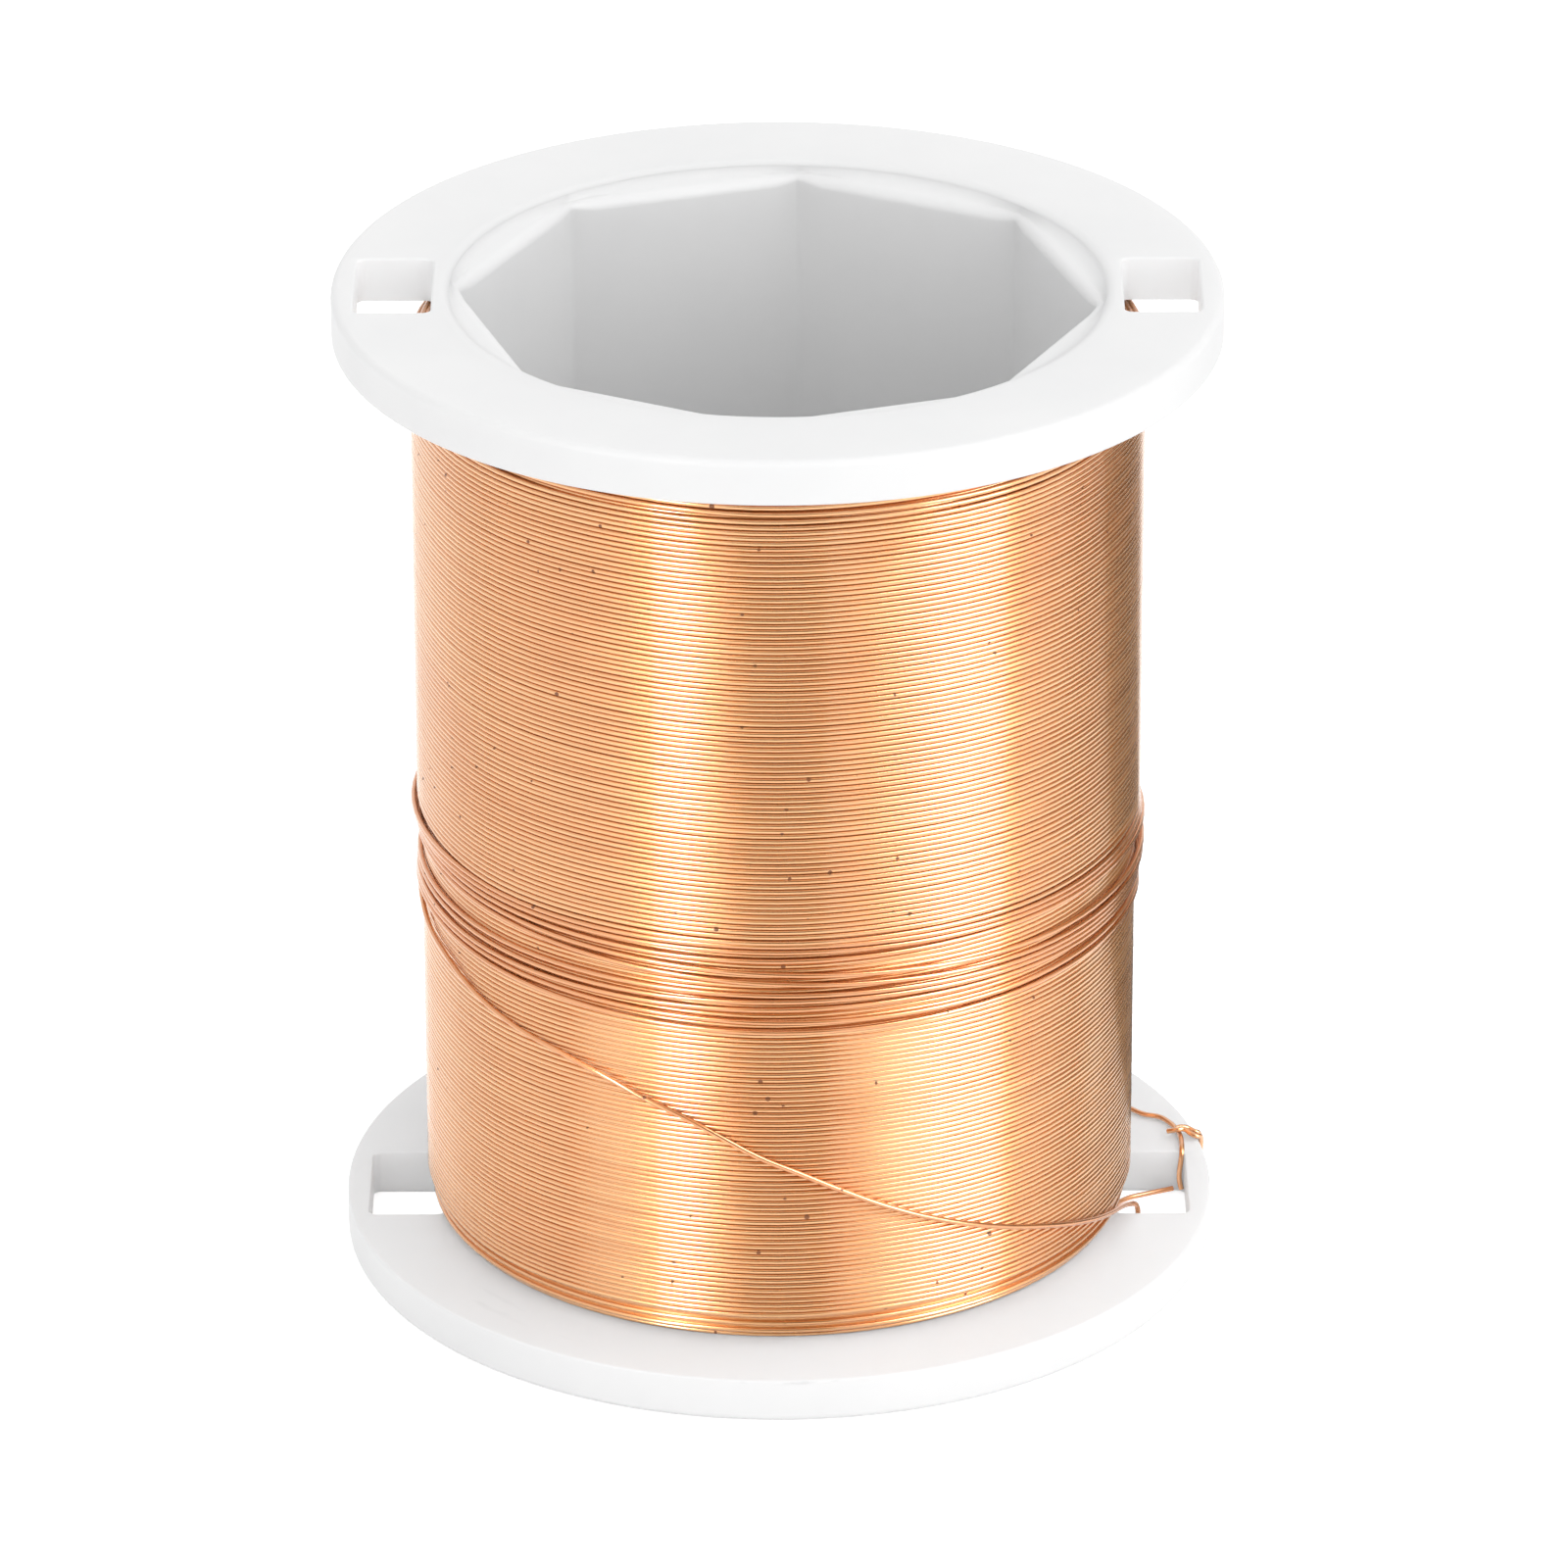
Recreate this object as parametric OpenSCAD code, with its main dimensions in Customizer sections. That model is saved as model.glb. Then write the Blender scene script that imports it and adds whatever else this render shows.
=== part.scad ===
// Wire spool: an eight-sided hub tube between two flanges, wound with fine copper wire.
// The spool stands on its lower flange. The origin is at the middle of that flange's
// underside, +Z runs up the hub, and the wire slots lie on the X axis.

/* [Flanges] */
// Outer diameter of both flanges
flange_d = 52; // [51:0.5:70]
// Thickness of each flange
flange_t = 2.7; // [1.5:0.1:4]
// Height of the spool over both flanges
spool_h = 61; // [50:0.5:90]
// Chamfer on the rim's edges
rim_edge = 0.3; // [0.1:0.05:0.6]

/* [Slots] */
// Length of each wire slot, round the flange
slot_len = 8.1; // [5:0.1:12]
// Width of flange left between a wire slot and the rim
slot_rim_w = 1.4; // [1.1:0.1:2]
// Width of flange left between a wire slot and the flange's middle hole
slot_hub_w = 0.95; // [0.6:0.05:2]
// Corner radius of each wire slot
slot_corner_r = 0.5; // [0.2:0.1:0.9]
// How far the lower flange's slots sit forward of the middle
lower_slot_shift = 0.6; // [0:0.1:1.5]

/* [Hub] */
// Outer diameter of the hub tube between the flanges
hub_d = 40.5; // [39.5:0.5:44]
// Width of the hub's shoulder at each end, which a flange meets
shoulder_w = 1.15; // [0.6:0.05:2]
// Wall left round the eight-sided bore's corners, at the hub's ends
end_wall = 0.5; // [0.4:0.1:3]
// Turn of the bore's first corner away from the X axis, in degrees
bore_turn = -4; // [-22:1:22]
// Depth of the hub's ends below the outer faces of the flanges
end_recess = 0.8; // [0.3:0.1:1.2]
// Clearance between a spigot and its flange, on the radius
spigot_gap = 0.05; // [0.02:0.01:0.15]

/* [Wire] */
// Diameter of the wire
wire_d = 0.32; // [0.24:0.02:0.5]
// Clearance between a turn of wire and what it lies on
wire_gap = 0.05; // [0.02:0.01:0.1]
// Full layers of wire on the hub, under the last layer
full_layers = 3; // [2:1:6]

/* [Turns] */
// Loops drawn for the last layer, spread out evenly below the upper flange
close_loops = 9; // [4:1:9]
// Loose loops under them, which end the last layer
loose_loops = 8; // [2:1:8]
// Loops drawn for the full layer that shows below the last one
low_loops = 7; // [3:1:7]
// Gap from one loose loop to the next
loose_gap = 0.44; // [0.42:0.02:0.8]
// Height at which the wire leaves its last loop
leave_h = 23.4; // [20:0.2:26]
// Side of the spool on which the wire leaves its last loop, in degrees from the X axis
leave_angle = 180; // [170:1:190]

/* [Hidden] */
$fn = 96;
cut = 1;
flange_r = flange_d / 2;
hub_r = hub_d / 2;
spigot_r = hub_r - shoulder_w;
flange_bore_r = spigot_r + spigot_gap;
// A slot fills the flange between its two bands.
slot_in_r = flange_bore_r + slot_hub_w;
slot_out_r = flange_r - slot_rim_w;
slot_w = slot_out_r - slot_in_r;
lower_face = flange_t;
upper_face = spool_h - flange_t;

// Each layer of wire sits in the grooves of the layer below.
layer_step = wire_d * sqrt(3) / 2;
full_r = hub_r + wire_d + (full_layers - 1) * layer_step;
full_turn_r = full_r - wire_d / 2;
last_turn_r = full_turn_r + layer_step;
tail_seat_r = full_r + wire_d / 2 + wire_gap;

// A loop is drawn with this many straight steps and this many sides.
loop_steps = 24;
loop_sides = 6;
tail_sides = 8;
loose_pitch = wire_d + loose_gap;
all_loops = close_loops + loose_loops;
// A loop's end runs straight for one wire diameter and then bends into the helix.
bend_r = 0.5;
loops_top = upper_face - wire_d - bend_r;
loose_top = leave_h + loose_loops * loose_pitch;
low_bottom = lower_face + wire_d + bend_r;
low_top = leave_h - loose_pitch;
// The core lies inside the middles of the loops' straight steps.
upper_core_r = core_under(last_turn_r);
lower_core_r = core_under(full_turn_r);
core_step_h = leave_h - wire_d / 2 - wire_gap;

// The finish tail crosses the full layers. Each point is an angle and a height.
crossing = [
    [leave_angle, leave_h], [187, 22.9], [195, 22.2], [203, 21.8], [209, 21.3],
    [215, 20.8], [221, 20.4], [226, 20.1], [232, 19.8], [237, 19.4], [243, 18.8],
    [249, 18], [255, 17.2], [261, 16.1], [267, 14.9], [273, 13.9], [280, 12.6],
    [287, 11.3], [296, 9.8], [307, 8.2], [318, 6.8], [330, 5.3], [338, 4.4]
];
// It then drops into the lower flange's slot, hooks back and ends there, in x, y, z.
crossing_end = [
    [20.5, -6, 3.8], [21, -4.9, 3.4], [21.35, -4.4, 3.15], [21.5, -4.2, 2.8],
    [21.5, -4.2, 1.6], [21.5, -4.2, 0.7], [21.4, -4, 0.4], [21.2, -3.2, 0.3],
    [20.8, -1.6, 0.3], [20.6, -0.4, 0.3], [20.9, 0.9, 0.3], [21.8, 1.7, 0.3],
    [23, 2.5, 0.3], [23.8, 2.9, 0.3]
];
// The start tail comes out at the foot of the winding and runs round it. Each point is an
// angle and a distance out from the full layers.
foot_angle = 80;
foot_h = flange_t + wire_d / 2 + wire_gap;
start_foot = [
    [foot_angle, lower_core_r - full_r], [foot_angle, wire_d], [79, 0.78], [76, 0.88],
    [70, 0.68], [62, 0.58], [54, 0.58], [46, 0.78]
];
// It crosses the flange to the slot's far corner and drops in, in x, y, z.
start_end = [
    [18.4, 12, foot_h], [20.2, 10.2, foot_h], [21.6, 9.1, foot_h], [22.4, 8.4, foot_h],
    [23.3, 8, foot_h], [23.8, 7.4, foot_h], [24.2, 6.4, foot_h], [24.4, 5.2, foot_h],
    [24.4, 3.8, foot_h], [24.4, 3.3, lower_face], [24.4, 3.1, lower_face - 0.6],
    [24.4, 3.1, 0.9], [24.4, 3, 0.3]
];
// Two strands of the wire's end lie over the start tail and hook down the rim.
wrap_h = foot_h + wire_d + wire_gap;
wrap_rim_r = flange_r + wire_d / 2 + wire_gap;
near_strand = [
    [23.8, 5.3, foot_h + 0.09], [24.1, 5.5, wrap_h - 0.05], [24.5, 5.7, wrap_h],
    [24.9, 5.9, wrap_h]
];
far_strand = [[24.1, 6, wrap_h], [24.5, 6.1, wrap_h], [24.8, 6.3, wrap_h]];
// Down the rim each point is an angle and a height above the lower flange's face.
near_hook = [[12.8, 0.2], [12, -0.4], [11.2, -1.1], [10.7, -1.8], [10.5, -2.2]];
far_hook = [[13.8, 0.2], [13, -0.4], [12.2, -1.1], [11.7, -1.8], [11.5, -2.2]];

// A point from its angle round the hub, its radius and its height.
function polar(angle, r, h) = [r * cos(angle), r * sin(angle), h];
function unit(v) = v / norm(v);

// The largest core that clears a loop of wire whose corners lie at radius r.
function core_under(r) = r * cos(180 / loop_steps) - wire_d / 2 - wire_gap;

// The way a line of points runs at one of them.
function heading(p, i) =
    let (last = len(p) - 1)
    i <= 0 ? unit(p[1] - p[0])
    : i >= last ? unit(p[last] - p[last - 1])
    : unit(unit(p[i + 1] - p[i]) + unit(p[i] - p[i - 1]));

// The part of v that is square to the direction t.
function square_to(v, t) = unit(v - (v * t) * t);

// One direction for each point, square to the line and turning with it.
function side_directions(p, first) = [
    for (
        i = 0, s = square_to(first, heading(p, 0));
        i < len(p);
        i = i + 1, s = square_to(s, heading(p, i))
    ) s
];

// Angle and height pairs as points at radius r, with one more point in each step.
function on_winding(route, r) = [
    for (i = [0 : len(route) - 1])
        for (part = i < len(route) - 1 ? [0, 0.5] : [0])
            let (here = route[i], next = route[min(i + 1, len(route) - 1)])
            polar(
                here[0] + part * (next[0] - here[0]),
                r,
                here[1] + part * (next[1] - here[1])
            )
];

// The height of the last layer at each step of its helix, closer in the loose loops.
function loop_h(k) =
    let (turns = k / loop_steps)
    turns < close_loops
    ? loops_top + (loose_top - loops_top) * turns / close_loops
    : loose_top - (turns - close_loops) * loose_pitch;

// The radius of the last layer, which steps out in its last quarter to meet the tail.
function loop_r(k) =
    let (left = all_loops * loop_steps - k, ease = loop_steps / 4)
    last_turn_r + (tail_seat_r - last_turn_r) * max(0, 1 - left / ease);

// A loop's end at a flange's inner face: straight, then bent round to lie along the winding.
function flange_end(angle, r, face, way) = [
    polar(angle, r, face),
    for (a = [0 : 30 : 90])
        polar(angle + bend_turn(r) * (1 - cos(a)), r, face + way * (wire_d + bend_r * sin(a)))
];
function bend_turn(r) = bend_r / r * 180 / PI;

// The last layer's centre line, from the upper flange down to where the finish tail starts.
tail_line = concat(on_winding(crossing, tail_seat_r), crossing_end);
last_steps = all_loops * loop_steps;
loops_start = leave_angle - 360 * all_loops;
loops_line = concat(
    flange_end(loops_start, last_turn_r, upper_face, -1),
    [
        for (k = [1 : last_steps - 1])
            polar(loops_start + 360 * k / loop_steps, loop_r(k), loop_h(k))
    ],
    [tail_line[0] - wire_d * heading(tail_line, 0), tail_line[0]]
);

// The full layer's centre line, from the lower flange up to where the last layer covers it.
// Its end there turns in, square to the core.
low_steps = low_loops * loop_steps;
low_start = foot_angle + 10;
low_line = concat(
    flange_end(low_start, full_turn_r, lower_face, 1),
    [
        for (k = [1 : low_steps])
            polar(
                low_start + 360 * k / loop_steps,
                full_turn_r,
                low_bottom + (low_top - low_bottom) * k / low_steps
            )
    ],
    [polar(low_start, lower_core_r, low_top)]
);

// The least gap between points half a loop or more apart.
function least_gap(p, apart) =
    min([for (i = [0 : len(p) - 1 - apart]) for (j = [i + apart : len(p) - 1]) norm(p[i] - p[j])])
    - wire_d;

start_line = concat([for (p = start_foot) polar(p[0], full_r + p[1], foot_h)], start_end);
near_line = concat(near_strand, [for (p = near_hook) polar(p[0], wrap_rim_r, lower_face + p[1])]);
far_line = concat(far_strand, [for (p = far_hook) polar(p[0], wrap_rim_r, lower_face + p[1])]);

// A tube of triangles along a line of points, square at each end.
module tube(p, sides, first) {
    s = side_directions(p, first);
    corners = [
        for (i = [0 : len(p) - 1])
            for (k = [0 : sides - 1])
                let (turn = 360 * k / sides, b = cross(heading(p, i), s[i]))
                p[i] + wire_d / 2 * (cos(turn) * s[i] + sin(turn) * b)
    ];
    last = (len(p) - 1) * sides;
    walls = [
        for (i = [0 : len(p) - 2])
            for (k = [0 : sides - 1])
                let (a = i * sides + k, b = i * sides + (k + 1) % sides)
                each [[a, a + sides, b + sides], [a, b + sides, b]]
    ];
    ends = [
        for (k = [1 : sides - 2])
            each [[0, k, k + 1], [last, last + k + 1, last + k]]
    ];
    polyhedron(points = corners, faces = concat(walls, ends), convexity = 10);
}

// A slot cutter with round corners, centred on the origin.
module slot_cutter() {
    tall = flange_t + 2 * cut;
    translate([-slot_w / 2 + slot_corner_r, -slot_len / 2, -cut])
        cube([slot_w - 2 * slot_corner_r, slot_len, tall]);
    translate([-slot_w / 2, -slot_len / 2 + slot_corner_r, -cut])
        cube([slot_w, slot_len - 2 * slot_corner_r, tall]);
    for (x = [-1, 1], y = [-1, 1])
        translate([
            x * (slot_w / 2 - slot_corner_r),
            y * (slot_len / 2 - slot_corner_r),
            -cut
        ])
            cylinder(h = tall, r = slot_corner_r, $fn = 24);
}

// One flange, with its hole for the hub's spigot and two wire slots.
module flange(slot_shift) {
    difference() {
        rotate_extrude()
            polygon([
                [flange_bore_r, 0],
                [flange_r - rim_edge, 0],
                [flange_r, rim_edge],
                [flange_r, flange_t - rim_edge],
                [flange_r - rim_edge, flange_t],
                [flange_bore_r, flange_t]
            ]);
        for (side = [-1, 1])
            translate([side * (slot_in_r + slot_w / 2), -slot_shift, 0])
                slot_cutter();
    }
}

// The hub tube, with a shoulder that each flange meets and a spigot that it seats on.
module hub() {
    color("white")
        difference() {
            union() {
                translate([0, 0, end_recess])
                    cylinder(h = spool_h - 2 * end_recess, r = spigot_r);
                translate([0, 0, lower_face])
                    cylinder(h = upper_face - lower_face, r = hub_r);
            }
            translate([0, 0, -cut])
                rotate([0, 0, bore_turn])
                    cylinder(h = spool_h + 2 * cut, r = spigot_r - end_wall, $fn = 8);
        }
}

module upper_flange() {
    color("whitesmoke")
        translate([0, 0, upper_face])
            flange(0);
}

module lower_flange() {
    color("whitesmoke")
        flange(lower_slot_shift);
}

// The layers under the drawn turns, as one plain ring on the hub.
module wire_core() {
    inner_r = hub_r + wire_gap;
    color("peru")
        rotate_extrude()
            polygon([
                [inner_r, lower_face],
                [lower_core_r, lower_face],
                [lower_core_r, core_step_h],
                [upper_core_r, core_step_h],
                [upper_core_r, upper_face],
                [inner_r, upper_face]
            ]);
}

module outer_turns() {
    echo(str("last layer's least gap to itself, mm: ", least_gap(loops_line, loop_steps / 2)));
    color("sandybrown")
        tube(loops_line, loop_sides, polar(loops_start, 1, 0));
}

module low_turns() {
    echo(str("low turns' least gap to themselves, mm: ", least_gap(low_line, loop_steps / 2)));
    color("sandybrown")
        tube(low_line, loop_sides, polar(low_start, 1, 0));
}

module finish_tail() {
    color("sandybrown")
        tube(tail_line, tail_sides, polar(leave_angle, 1, 0));
}

module start_tail() {
    color("sandybrown")
        tube(start_line, tail_sides, [0, 0, 1]);
}

module near_wrap() {
    color("sandybrown")
        tube(near_line, tail_sides, [0, 0, 1]);
}

module far_wrap() {
    color("sandybrown")
        tube(far_line, tail_sides, [0, 0, 1]);
}

hub();
upper_flange();
lower_flange();
wire_core();
outer_turns();
low_turns();
finish_tail();
start_tail();
near_wrap();
far_wrap();
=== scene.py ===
import math

import bpy
import numpy as np
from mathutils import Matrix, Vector
from mathutils.geometry import delaunay_2d_cdt


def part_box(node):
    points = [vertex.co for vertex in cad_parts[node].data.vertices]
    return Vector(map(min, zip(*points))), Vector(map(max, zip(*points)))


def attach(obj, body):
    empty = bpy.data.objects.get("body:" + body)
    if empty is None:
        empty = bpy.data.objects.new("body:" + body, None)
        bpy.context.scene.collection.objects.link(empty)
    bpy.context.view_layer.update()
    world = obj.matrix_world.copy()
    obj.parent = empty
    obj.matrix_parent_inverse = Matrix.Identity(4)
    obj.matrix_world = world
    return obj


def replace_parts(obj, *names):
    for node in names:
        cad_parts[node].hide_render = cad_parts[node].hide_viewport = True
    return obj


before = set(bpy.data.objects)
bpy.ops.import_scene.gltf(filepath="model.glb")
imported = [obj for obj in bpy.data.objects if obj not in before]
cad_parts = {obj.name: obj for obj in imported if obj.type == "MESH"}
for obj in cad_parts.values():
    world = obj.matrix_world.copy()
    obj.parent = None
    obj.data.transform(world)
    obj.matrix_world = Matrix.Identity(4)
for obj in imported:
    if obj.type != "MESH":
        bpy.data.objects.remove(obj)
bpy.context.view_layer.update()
mm = 0.001
random = np.random.default_rng(28)
print("frame loaded")

# A long lens, looking down on the spool from the front.
cameraSetup = {
    "place": (0.0, -597.05, 308.21),  # mm
    "aim": (0.33, 0.0, 28.95),  # mm
    "rollDeg": -0.085,
    "lens": 254.9,
    "sensor": 36.0,
    "nearest": 0.05,  # m
    "farthest": 20.0,  # m
}


def makeCamera(setup):
    data = bpy.data.cameras.new("camera")
    data.lens = setup["lens"]
    data.sensor_width = setup["sensor"]
    data.clip_start = setup["nearest"]
    data.clip_end = setup["farthest"]
    camera = bpy.data.objects.new("camera", data)
    place = Vector(setup["place"]) * mm
    looks = Vector(setup["aim"]) * mm - place
    camera.rotation_euler = looks.to_track_quat("-Z", "Y").to_euler()
    camera.rotation_euler.rotate_axis("Z", math.radians(setup["rollDeg"]))
    camera.location = place
    bpy.context.scene.collection.objects.link(camera)
    bpy.context.scene.camera = camera


makeCamera(cameraSetup)

# The spool's driving sizes in mm, from the frame.
upperLow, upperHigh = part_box("upper_flange")
_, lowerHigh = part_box("lower_flange")
hubLow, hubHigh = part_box("hub")
spool = {
    "flangeR": lowerHigh.x / mm,
    "height": upperHigh.z / mm,
    "lowerFace": lowerHigh.z / mm,
    "upperFace": upperLow.z / mm,
    "hubR": hubHigh.y / mm,
    "seatR": 19.15,  # the flange's hole, which the end of the hub fills
    "endRecess": hubLow.z / mm,
}
wire = {
    "diameter": 0.32,
    "fullLayers": 3,
    "gap": 0.05,  # between a loose end and what it lies on
    "roundSteps": 3,
    "lengthSteps": 6,
}
wireR = wire["diameter"] / 2
layerStep = wire["diameter"] * math.sqrt(3) / 2
firstTurnR = spool["hubR"] + wireR
fullTurnR = firstTurnR + (wire["fullLayers"] - 1) * layerStep
fullR = fullTurnR + wireR
lastTurnR = fullTurnR + layerStep
tailSeatR = fullR + wireR + wire["gap"]


def polar(angleDeg, radius, height=0.0):
    a = math.radians(angleDeg)
    return (radius * math.cos(a), radius * math.sin(a), height)


def newMaterial(name):
    material = bpy.data.materials.new(name)
    material.use_nodes = True
    nodes = material.node_tree.nodes
    return material, nodes, material.node_tree.links, nodes["Principled BSDF"]


def addNode(nodes, kind, settings=None, inputs=None):
    node = nodes.new(kind)
    for key, value in (settings or {}).items():
        setattr(node, key, value)
    for key, value in (inputs or {}).items():
        node.inputs[key].default_value = value
    return node


def addMix(nodes, links, factor, first, second):
    # first and second are colours or sockets
    mix = addNode(nodes, "ShaderNodeMix", {"data_type": "RGBA"})
    links.new(factor, mix.inputs[0])
    for socket, value in ((mix.inputs[6], first), (mix.inputs[7], second)):
        if isinstance(value, tuple):
            socket.default_value = (*value, 1.0)
        else:
            links.new(value, socket)
    return mix.outputs[2]


def addMath(nodes, links, operation, first, second):
    # first and second are numbers or sockets
    node = addNode(nodes, "ShaderNodeMath", {"operation": operation})
    for socket, value in zip(node.inputs, (first, second)):
        if isinstance(value, (int, float)):
            socket.default_value = value
        else:
            links.new(value, socket)
    return node.outputs[0]


def addRange(nodes, links, value, fromLow, fromHigh, toLow, toHigh):
    limits = {"From Min": fromLow, "From Max": fromHigh, "To Min": toLow, "To Max": toHigh}
    mapRange = addNode(nodes, "ShaderNodeMapRange", inputs=limits)
    links.new(value, mapRange.inputs["Value"])
    return mapRange.outputs["Result"]


def placeIn(nodes, links, scale, middle=(0, 0, 0), turnDeg=0.0):
    # object coordinates about a middle in mm, turned about Z, then scaled
    place = addNode(nodes, "ShaderNodeTexCoord")
    settings = {
        "Location": [c * mm for c in middle],
        "Rotation": (0.0, 0.0, math.radians(turnDeg)),
    }
    moved = addNode(nodes, "ShaderNodeMapping", {"vector_type": "TEXTURE"}, settings)
    links.new(place.outputs["Object"], moved.inputs["Vector"])
    scaled = addNode(nodes, "ShaderNodeMapping", inputs={"Scale": scale})
    links.new(moved.outputs["Vector"], scaled.inputs["Vector"])
    return scaled.outputs["Vector"]


def addNoise(nodes, links, place, detail):
    noise = addNode(nodes, "ShaderNodeTexNoise", inputs={"Scale": 1.0, "Detail": detail})
    links.new(place, noise.inputs["Vector"])
    return noise.outputs["Fac"]


copperLook = {
    "light": (0.83, 0.44, 0.165),
    "deep": (0.75, 0.32, 0.085),
    "patch": (0.74, 0.33, 0.10),
    "grooveShade": (0.68, 0.22, 0.045),  # painted shade where turns lie against each other
    "speck": (0.26, 0.09, 0.03),
    "paintedBounce": (0.84, 0.84, 0.85),  # painted light: bounced light takes this grey from the wire, so the pale plastic picks up no copper colour from it
    "metal": 0.8,
    "toneShare": 0.7,
    "grooveShadeShare": 0.85,
    "streakScale": (90.0, 90.0, 1600.0),
    "streakRange": (0.35, 0.65),
    "streakShare": 0.6,
    "patchScale": (70.0, 70.0, 110.0),
    "patchRange": (0.48, 0.66),
    "patchShare": 0.7,
    "speckScale": (760.0, 760.0, 760.0),
    "speckShare": 0.6,
    "speckSize": 0.12,
    "groupRange": (0.40, 0.70),
    "groupShare": (0.2, 2.0),  # between the groups of flecks and in them
    "roughRange": (0.3, 0.7),
    "roughLow": 0.20,
    "roughHigh": 0.32,
    "enamel": 1.0,
    "enamelRough": 0.10,
    "enamelIor": 2.0,
    "bump": 0.12,
    "bumpDepth": 0.03,  # mm
}
endLook = dict(copperLook, light=(0.78, 0.36, 0.15), roughLow=0.3)
# painted shade: the finish end is painted as deep in colour as the shaded loose turns that it comes
# from
tailShadeLook = dict(copperLook, light=(0.73, 0.29, 0.08), patch=(0.70, 0.25, 0.06))


def makeCopper(name, look):
    material, nodes, links, shader = newMaterial(name)
    tone = addNode(nodes, "ShaderNodeAttribute", {"attribute_name": "turnTone"})
    streaks = addNoise(nodes, links, placeIn(nodes, links, look["streakScale"]), 3.0)
    patches = addNoise(nodes, links, placeIn(nodes, links, look["patchScale"]), 2.0)
    toneFactor = addRange(nodes, links, tone.outputs["Fac"], 0.0, 1.0, 0.0, look["toneShare"])
    streakFactor = addRange(nodes, links, streaks, *look["streakRange"], 0.0, look["streakShare"])
    patchFactor = addRange(nodes, links, patches, *look["patchRange"], 0.0, look["patchShare"])
    base = addMix(nodes, links, toneFactor, look["light"], look["deep"])
    base = addMix(nodes, links, streakFactor, base, look["light"])
    base = addMix(nodes, links, patchFactor, base, look["patch"])
    # painted shade: each turn's top and bottom, where it lies against its neighbours, take the
    # deeper groove colour
    grooveShade = addNode(nodes, "ShaderNodeAttribute", {"attribute_name": "paintedGrooveShade"})
    grooveShadeFactor = addRange(nodes, links, grooveShade.outputs["Fac"], 0.0, 1.0, 0.0, look["grooveShadeShare"])
    base = addMix(nodes, links, grooveShadeFactor, base, look["grooveShade"])
    # flecks of burnt enamel in loose groups, most of them smaller than the wire
    speckPlace = placeIn(nodes, links, look["speckScale"])
    cells = addNode(nodes, "ShaderNodeTexVoronoi", inputs={"Scale": 1.0})
    links.new(speckPlace, cells.inputs["Vector"])
    pick = addNode(nodes, "ShaderNodeSeparateColor")
    links.new(cells.outputs["Color"], pick.inputs["Color"])
    group = addRange(nodes, links, patches, *look["groupRange"], *look["groupShare"])
    share = addMath(nodes, links, "MULTIPLY", group, look["speckShare"])
    chosen = addMath(nodes, links, "LESS_THAN", pick.outputs["Red"], share)
    size = addMath(nodes, links, "MULTIPLY", pick.outputs["Green"], look["speckSize"])
    near = addMath(nodes, links, "LESS_THAN", cells.outputs["Distance"], size)
    speck = addMath(nodes, links, "MULTIPLY", chosen, near)
    base = addMix(nodes, links, speck, base, look["speck"])
    # painted light: rays bounced off dull surfaces see the wire as grey, not copper
    path = addNode(nodes, "ShaderNodeLightPath")
    base = addMix(nodes, links, path.outputs["Is Diffuse Ray"], base, look["paintedBounce"])
    links.new(base, shader.inputs["Base Color"])
    # a fleck is dull
    clean = addMath(nodes, links, "SUBTRACT", 1.0, speck)
    for socket, share in (("Coat Weight", look["enamel"]), ("Metallic", look["metal"])):
        links.new(addMath(nodes, links, "MULTIPLY", clean, share), shader.inputs[socket])
    roughness = (look["roughLow"], look["roughHigh"])
    rough = addRange(nodes, links, streaks, *look["roughRange"], *roughness)
    links.new(rough, shader.inputs["Roughness"])
    shader.inputs["Coat Roughness"].default_value = look["enamelRough"]
    shader.inputs["Coat IOR"].default_value = look["enamelIor"]
    bumpInputs = {"Strength": look["bump"], "Distance": look["bumpDepth"] * mm}
    bump = addNode(nodes, "ShaderNodeBump", inputs=bumpInputs)
    links.new(streaks, bump.inputs["Height"])
    links.new(bump.outputs["Normal"], shader.inputs["Normal"])
    return material


plasticLook = {
    "pale": (0.89, 0.89, 0.89),
    "milky": (0.87, 0.871, 0.873),
    "scuff": (0.50, 0.50, 0.50),
    "cloudScale": (140.0, 140.0, 140.0),
    "cloudRange": (0.35, 0.7),
    "grainScale": (2500.0, 2500.0, 2500.0),
    "scuffFade": (0.3, 1.0),  # where a rubbed place starts to fade, and ends
    "scuffRange": (0.54, 0.70),
    "scuffShare": 0.45,
    "scuffStretch": 5,
    "roughRange": (0.3, 0.7),
    "roughLow": 0.48,
    "roughHigh": 0.6,
    "through": 0.3,  # share of the light that goes into the plastic
    "throughDepth": 1.5,  # mm
    "paintedBounce": 0.97,  # painted light: the flanges pass on more light in bounces than their colour holds, brightening the faces round them
    "bump": 0.06,
    "bumpDepth": 0.04,  # mm
}
# painted shade: the hub passes on less light in bounces, so its bore comes out darker, as where the
# wire keeps the light from behind off the hub
hubShadePlasticLook = dict(plasticLook, paintedBounce=0.76)
# Rubbed places: middle in mm, turn about Z, and half sizes along, across and up.
scuffs = [
    {"middle": (-17.5, -15.5, 2.3), "turnDeg": -48.0, "size": (5.5, 1.0, 1.2), "grain": 900.0},
    {"middle": (-12.8, -19.9, 2.4), "turnDeg": -33.0, "size": (2.6, 0.5, 1.2), "grain": 1300.0},
    {"middle": (22.3, 1.9, 61.0), "turnDeg": 40.0, "size": (0.8, 0.3, 0.4), "grain": 2200.0},
    {"middle": (13.6, -8.8, 60.0), "turnDeg": 60.0, "size": (1.6, 0.6, 1.5), "grain": 1500.0},
    {"middle": (1.2, -25.8, 2.6), "turnDeg": 2.0, "size": (5.0, 0.4, 0.25), "grain": 1800.0},
]


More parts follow.
